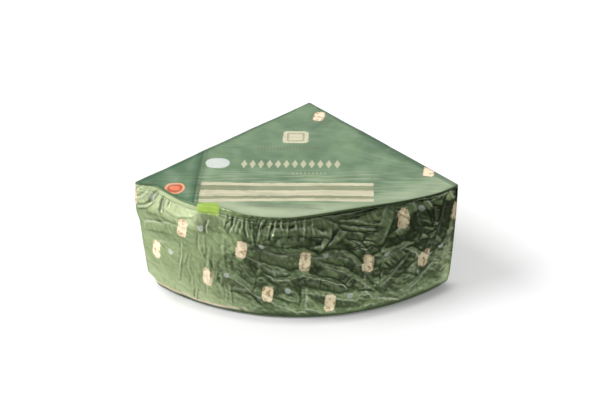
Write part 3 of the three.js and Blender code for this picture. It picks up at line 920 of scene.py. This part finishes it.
# Shapes in flat ink: (ink, centre on the top sheet, half size, corner radius), in millimetres. The last
# lies on the wall, where the tab bends over the edge.
PRINT = [
    (OLIVE, (-5.2, -43.2), (58.0, 10.6), 0.4),
    (STRIPE, (-5.2, -33.9), (58.0, 1.7), 0.4),
    (STRIPE, (-5.2, -44.5), (58.0, 3.2), 0.4),
    (STRIPE, (-5.2, -52.4), (58.0, 1.5), 0.4),
    (STRIPE, (-2.2, 28.6), (9.0, 8.6), 3.0),
    (OLIVE, (-2.2, 28.6), (6.2, 5.8), 2.0),
    (STRIPE, (-2.2, 28.6), (5.0, 4.6), 1.6),
    (PALE_GREY, (-54.4, -7.4), (8.2, 6.4), 6.3),
    (ORANGE_PALE, (-80.4, -38.9), (6.8, 6.0), 5.9),
    (ORANGE_DEEP, (-80.4, -38.9), (5.2, 4.5), 4.4),
    (ORANGE, (-80.4, -38.9), (3.4, 2.4), 2.3),
    (LIME, (-57.0, -60.6), (7.6, 5.6), 1.2),
    (LIME, (-61.8, 77.5 - TOP_SHIFT), (8.2, 4.2), 1.0),
]
# Rows of lozenges on the top sheet: (ink, how many, first and last X, Y, half size, strength).
LOZENGE_ROWS = [
    (STRIPE, 12, -36.0, 28.0, -8.0, (2.2, 5.4), 1.0),
    (UMBER, 22, -28.0, 20.0, 13.0, (0.9, 3.0), 0.6),
    (STRIPE, 9, -2.0, 20.0, -19.6, (1.0, 1.5), 0.5),
]
# Fine creases in the top sheet: (first place, last place, half width, rise).
TOP_LINES = [
    ((-65.5, 16), (-66.2, -62), 1.4, 0.35),
    ((-63.5, 8), (-64.5, -60), 1.2, -0.25),
    ((-66, 14), (-38, 16), 1.4, -0.2),
    ((-60, 20), (-30, 48), 2.2, 0.15),
    ((24, 20), (60, 2), 2.2, 0.15),
    ((44, -4), (84, -14), 2.2, -0.2),
    ((36, -12), (70, -34), 2.2, 0.2),
    ((-40, -58), (20, -63), 1.5, 0.25),
    ((-60, -26), (44, -27.5), 1.2, 0.2),
    ((10, 40), (24, 62), 2.2, 0.25),
    ((26, 44), (58, 22), 2.2, 0.15),
    ((62, 14), (52, -30), 2.2, 0.25),
    ((-20, -24), (52, -22), 1.0, -0.1),
    ((-58, -21), (0, -22.5), 1.0, 0.1),
]
# Darker bands where the top sheet bends over a cut: (first place, last place, half width, strength).
TOP_EDGES = [
    ((16, 71), (108, -31), 6.0, 0.6),
    ((50, 34), (76, 4), 11.0, 0.45),
    ((-6, 69), (-104, -31), 3.4, 0.5),
]
# Between these places of the pattern coordinates the wall's strip ends and the top sheet begins.
TOP_START = (TOP_SHIFT - 120, TOP_SHIFT - 110)


def on_sheet(place):
    """A place of the top sheet, in the foil's own pattern coordinates."""
    return (place[0], place[1] + TOP_SHIFT, 0)


def crease(place, start, end, half):
    """The mask of a crease of the top sheet."""
    inputs = {"Place": place, "Start": on_sheet(start), "End": on_sheet(end), "Half": half}
    return use(place.tree, crease_line, inputs)["Line"]


def shape(place, centre, half, corner):
    """The mask of a printed shape of the top sheet."""
    inputs = {"Place": place, "Centre": on_sheet(centre), "Half Size": (*half, 0), "Corner": corner}
    return use(place.tree, printed_shape, inputs)["Mask"]


def painted(colour, layers):
    """The colour under layers, each a share and a colour."""
    for share, layer in layers:
        colour = share.blend(colour, layer)
    return colour


def new_material(name):
    """An empty material and its node tree."""
    material = bpy.data.materials.new(name)
    material.use_nodes = True
    material.node_tree.nodes.clear()
    return material, material.node_tree


def printed_foil_material():
    """The lacquered, printed foil."""
    material, tree = new_material("printed_foil")
    place = Value(add(tree, "ShaderNodeUVMap", uv_map="sheet").outputs[0]) * (1 / MM, 1 / MM, 0)
    printed = shaken(place, (1.2, 1.6, 0), Scale=0.22, Detail=2.0)
    x, y = place.parts()
    crumpled = x.fade(-70, -20, 0.6, 1.0) - x.rise(62, 78, 0.55) * y.rise(32, 46)
    crumpled = crumpled * y.fade(*TOP_START, 1.0, 0.32)
    surface = use(tree, foil_surface, {"Place": place, "Crumple": crumpled})
    cloud, streak, height = surface["Cloud"], surface["Streak"], surface["Height"]
    tone = cloud.rise(0.35, 0.65)

    # Painted light: the wall's left end, and its right corner further on, are painted a paler green where
    # more light falls on them.
    left_end = x.fade(-75, -25) * x.fade(-170, -130, 0.3, 1.0)
    # Painted highlight: a pale sheen on the left end's facets below the top edge, and a paler green towards
    # the left end's foot.
    painted_foot_light = left_end * y.fade(6, 26, 0.22)
    painted_sheen = calculate("MAXIMUM", x.fade(-72, -60) * y.rise(61, 67, 0.4), painted_foot_light)
    wall = painted(tone.blend(RIND_GREEN, RIND_SHADE), [
        (left_end, PAINTED_LIGHT_GREEN),
        (x.rise(108, 118) * x.fade(140, 170), PAINTED_LIGHT_GREEN),
        (painted_sheen, PAINTED_SHEEN_PALE),
        # Painted shade: a band below the left end's pale facets goes part way back to the darker wall green.
        (y.rise(38, 50, 0.45) * y.fade(58, 64) * x.fade(-76, -60), RIND_GREEN),
        # Painted shade: near-black under the top sheet's lip, right of the middle.
        (x.rise(24, 60) * y.rise(HEIGHT - 9, HEIGHT - 2.5, 0.6), PAINTED_SHADE_DARK),
        # Painted shade along the left end's top rounding, dimming the light it catches.
        (x.fade(-72, -60) * y.rise(HEIGHT - 1.6, HEIGHT - 0.8, 0.9), PAINTED_EDGE_SHADE),
    ])
    from_centre = (place - on_sheet(WHEEL_CENTRE)).length()
    front_band = from_centre.rise(WHEEL_RADIUS - 26, WHEEL_RADIUS - 14, 0.9) * x.rise(-64, -58)
    # Painted light: the top sheet, the same foil as the wall, gets a lighter and cooler green, for the cool
    # light it catches from above and behind.
    top = painted(tone.blend(TOP_GREEN, TOP_SHADE), [
        (streak.rise(0.42, 0.66, 0.5) * y.fade(TOP_SHIFT - 24, TOP_SHIFT - 12, 1.0, 0.1), TOP_PALE),
        (x.fade(TOP_FOLD_X - 1, TOP_FOLD_X + 1) * 0.7, TEAL),
        (front_band * x.fade(10, 60, 1.0, 0.4), TOP_PALE),
    ] + [(crease(printed, *line).rise(0.1, 0.5, strength), TOP_EDGE_SHADE) for *line, strength in TOP_EDGES])

    motifs = use(tree, scattered_print, {
        "Place": printed, "Round Centre": on_sheet(WHEEL_CENTRE), "Clear Centre": on_sheet((-4, -8))})
    tablet, dot = motifs["Tablet"], motifs["Dot"]
    on_top = y.rise(*TOP_START)
    # Painted light: the tablets' cream is dimmer on the top sheet and the left end, where more light falls,
    # and brighter right of the middle, where less does.
    dimmed_where_lit = calculate("MAXIMUM", on_top * 0.9, x.fade(-60, 0, 0.6))
    inks = [
        (tablet, dimmed_where_lit.blend(CREAM, CREAM_DIM)),
        (motifs["Rim"] * tablet * 0.5, BROWN),
        (motifs["Inner"] * 0.75, BROWN),
        (dot * 0.6, PALE_GREY),
    ]
    ink = calculate("MAXIMUM", tablet, dot)
    strengths = {OLIVE: 0.75, STRIPE: streak.fade(0.42, 0.68, 1.0, 0.62)}
    for colour, *form in PRINT:
        mask = shape(printed, *form)
        inks.append((mask * strengths.get(colour, 1.0), colour))
        ink = calculate("MAXIMUM", ink, mask)
    for colour, count, first, last, across, half, strength in LOZENGE_ROWS:
        step = (last - first) / (count - 1)
        in_step = calculate("FLOORED_MODULO", x - (first - step / 2), step) - step / 2
        reach = abs(in_step) / half[0] + abs(y - (across + TOP_SHIFT)) / half[1]
        row = shape(printed, ((first + last) / 2, across), ((last - first + step) / 2, half[1] + 1), 0.1)
        mask = reach.fade(0.8, 1.2, strength) * row
        inks.append((mask, colour))
        ink = calculate("MAXIMUM", ink, mask)

    bend = Value(add(tree, "ShaderNodeAttribute", attribute_name="bend").outputs["Fac"])
    bend = bend * abs(x).fade(RIND_HALF - 2, RIND_HALF + 2, 1.0, 0.4)
    bend = bend * abs(y - (HEIGHT - 1.5)).fade(1.5, 3.5, 0.3, 1.0)
    colour = painted(on_top.blend(wall, top), inks + [
        # Painted reflection: a pale pink line along the left part of the rounded foot, where it reflects the
        # pale floor.
        (abs(y - 3.9).fade(0.6, 1.3) * x.fade(-60, -20) * 0.7, FOOT_REFLECTION_PINK),
        # Painted shade: near-black at the foot, where it meets the floor.
        (abs(y).fade(2.2, 3.2) * 0.9, PAINTED_SHADE_DARK),
        # Along sharp crests the lacquer is rubbed pale, which also serves as a painted highlight.
        (calculate("MAXIMUM", bend, 0.0) * 0.55, CREST_WEAR_AND_HIGHLIGHT),
        # Painted shade: near-black in sharp valleys.
        (calculate("MAXIMUM", bend * -1.0, 0.0) * 0.8, PAINTED_SHADE_DARK),
    ])
    for *line, rise in TOP_LINES:
        height = height + crease(place, *line) * rise
    bump = add(tree, "ShaderNodeBump", {"Strength": 1.0, "Distance": MM, "Height": height})
    shader = add(tree, "ShaderNodeBsdfPrincipled", {
        "Base Color": colour,
        "Metallic": ink.fade(0.0, 1.0, 0.9, 0.0),
        "Roughness": x.fade(-80, -50, 0.2) + cloud.fade(0.3, 0.7, 0.3, 0.4),
        "Normal": Value(bump.outputs[0]),
    })
    add(tree, "ShaderNodeOutputMaterial", {"Surface": Value(shader.outputs[0])})
    return material


foil_wrap.data.materials.append(printed_foil_material())
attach(foil_wrap, "root")
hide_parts("wrapped_wedge")


# The ground: a plain, pale, matt sheet that the pack stands on. The foil sees it glow at the left and close
# to the pack, and dark farther away. The camera sees it white, a little darker along the rind's foot as a
# painted contact shadow.

FLOOR_HALF = 4.0
FLOOR_WHITE = (0.7, 0.7, 0.7, 1)
FLOOR_PALE = (0.85, 0.85, 0.83, 1)
FLOOR_DARK = (0.02, 0.02, 0.02, 1)
NEAR_WIDTH = (0.004, 0.06)  # metres beyond the rind's arc, between which the floor close to it fades
FOOT_WIDTH = (0.0, 0.011)  # and those between which the dark at the rind's foot fades
CARD_GLOW = 0.8  # the glow that the foil sees at the left, and close to the pack
NEAR_GLOW = 0.75
FLOOR_GLOW = 0.27  # the glow that the camera sees, and at the rind's foot
FOOT_GLOW = 0.06


def glowing(tree, colour, glow):
    """A matt surface with an even white glow."""
    matt = add(tree, "ShaderNodeBsdfDiffuse", {"Color": colour})
    light = add(tree, "ShaderNodeEmission", {"Color": (1, 1, 1, 1), "Strength": glow})
    inputs = {0: Value(matt.outputs[0]), 1: Value(light.outputs[0])}
    return Value(add(tree, "ShaderNodeAddShader", inputs).outputs[0])


def floor():
    """A flat square of floor at Z = 0. Its glow goes by the distance from the wheel's centre."""
    corners = [(x * FLOOR_HALF, y * FLOOR_HALF, 0) for x, y in ((-1, -1), (1, -1), (1, 1), (-1, 1))]
    mesh = bpy.data.meshes.new("ground")
    mesh.from_pydata(corners, [], [(0, 1, 2, 3)])
    material, tree = new_material("ground_white")
    place = Value(add(tree, "ShaderNodeTexCoord").outputs["Object"])
    x, y = place.parts()
    leftwards = x.fade(-0.16, -0.05)
    away = (place - (WHEEL_CENTRE[0] * MM, WHEEL_CENTRE[1] * MM, 0)).length()
    near = away.fade(*(WHEEL_RADIUS * MM + width for width in NEAR_WIDTH))
    seen_by_foil = leftwards.blend(near.blend(FLOOR_DARK, FLOOR_WHITE), FLOOR_PALE)
    bounce = glowing(tree, seen_by_foil, calculate("MAXIMUM", leftwards * CARD_GLOW, near * NEAR_GLOW))
    # Painted shadow: the glow the camera sees is weaker along the rind's foot.
    at_foot = abs(away - WHEEL_RADIUS * MM).fade(*FOOT_WIDTH) * x.rise(-0.105, -0.08) * y.fade(-0.045, -0.03)
    lit = glowing(tree, FLOOR_WHITE, at_foot.fade(0.0, 1.0, FLOOR_GLOW, FOOT_GLOW))
    is_camera = Value(add(tree, "ShaderNodeLightPath").outputs["Is Camera Ray"])
    mixed = add(tree, "ShaderNodeMixShader", {0: is_camera, 1: bounce, 2: lit})
    add(tree, "ShaderNodeOutputMaterial", {"Surface": Value(mixed.outputs[0])})
    mesh.materials.append(material)
    ground = bpy.data.objects.new("ground", mesh)
    bpy.context.scene.collection.objects.link(ground)


floor()


# The light: a soft lamp high at the left, which throws the shadow to the right, and soft glows in the
# studio's walls: behind, low at the left and at the right, and a weak one in front.

KEY_FROM = (-0.68, -0.06, 0.73)
KEY_STRENGTH = 2.25
KEY_ANGLE = 28


def sun_light(name, towards, strength, angle):
    """A distant lamp of that angular size, in degrees, that shines from a direction."""
    lamp = bpy.data.lights.new(name, "SUN")
    lamp.energy = strength
    lamp.angle = math.radians(angle)
    holder = bpy.data.objects.new(name, lamp)
    holder.rotation_euler = Vector(towards).to_track_quat("Z", "Y").to_euler()
    bpy.context.scene.collection.objects.link(holder)


# The glows: direction, cosine of the angle from it where the glow starts and where it is full, strength.
GLOWS = [
    ((-0.1, 0.85, 0.5), 0.3, 0.9, 1.0),
    ((-0.97, -0.14, 0.2), 0.6, 0.95, 1.4),
    ((0.97, -0.1, 0.2), 0.6, 0.95, 1.0),
    ((0.0, -0.85, 0.5), 0.5, 0.95, 0.5),
]


def studio():
    """The studio's walls and ceiling as a world that glows softly in some directions."""
    world = bpy.data.worlds.new("studio")
    world.use_nodes = True
    tree = world.node_tree
    direction = Value(add(tree, "ShaderNodeTexCoord").outputs["Generated"])
    total = sum(
        calculate("DOT_PRODUCT", direction, tuple(Vector(towards).normalized())).rise(start, full, strength)
        for towards, start, full, strength in GLOWS
    )
    background = tree.nodes["Background"]
    background.inputs["Color"].default_value = (1, 1, 1, 1)
    tree.links.new(total.socket, background.inputs["Strength"])
    bpy.context.scene.world = world


sun_light("key", KEY_FROM, KEY_STRENGTH, KEY_ANGLE)
studio()
bpy.context.scene.view_settings.view_transform = "Standard"


# The camera: a long lens from a little right of the middle, looking down on the top and the rind side.

CAMERA_PLACE = np.array([48.35, -826.5, 580.78])
CAMERA_RIGHT = Vector((0.99884939, 0.04262081, -0.02198569))
CAMERA_UP = Vector((-0.00474641, 0.54404914, 0.83903993))
LENS = 84.0
SENSOR = 36.0

camera_data = bpy.data.cameras.new("camera")
camera_data.lens = LENS
camera_data.sensor_width = SENSOR
camera = bpy.data.objects.new("camera", camera_data)
axes = Matrix((CAMERA_RIGHT, CAMERA_UP, CAMERA_RIGHT.cross(CAMERA_UP))).transposed()
camera.matrix_world = Matrix.Translation(CAMERA_PLACE * MM) @ axes.to_4x4()
bpy.context.scene.collection.objects.link(camera)
bpy.context.scene.camera = camera
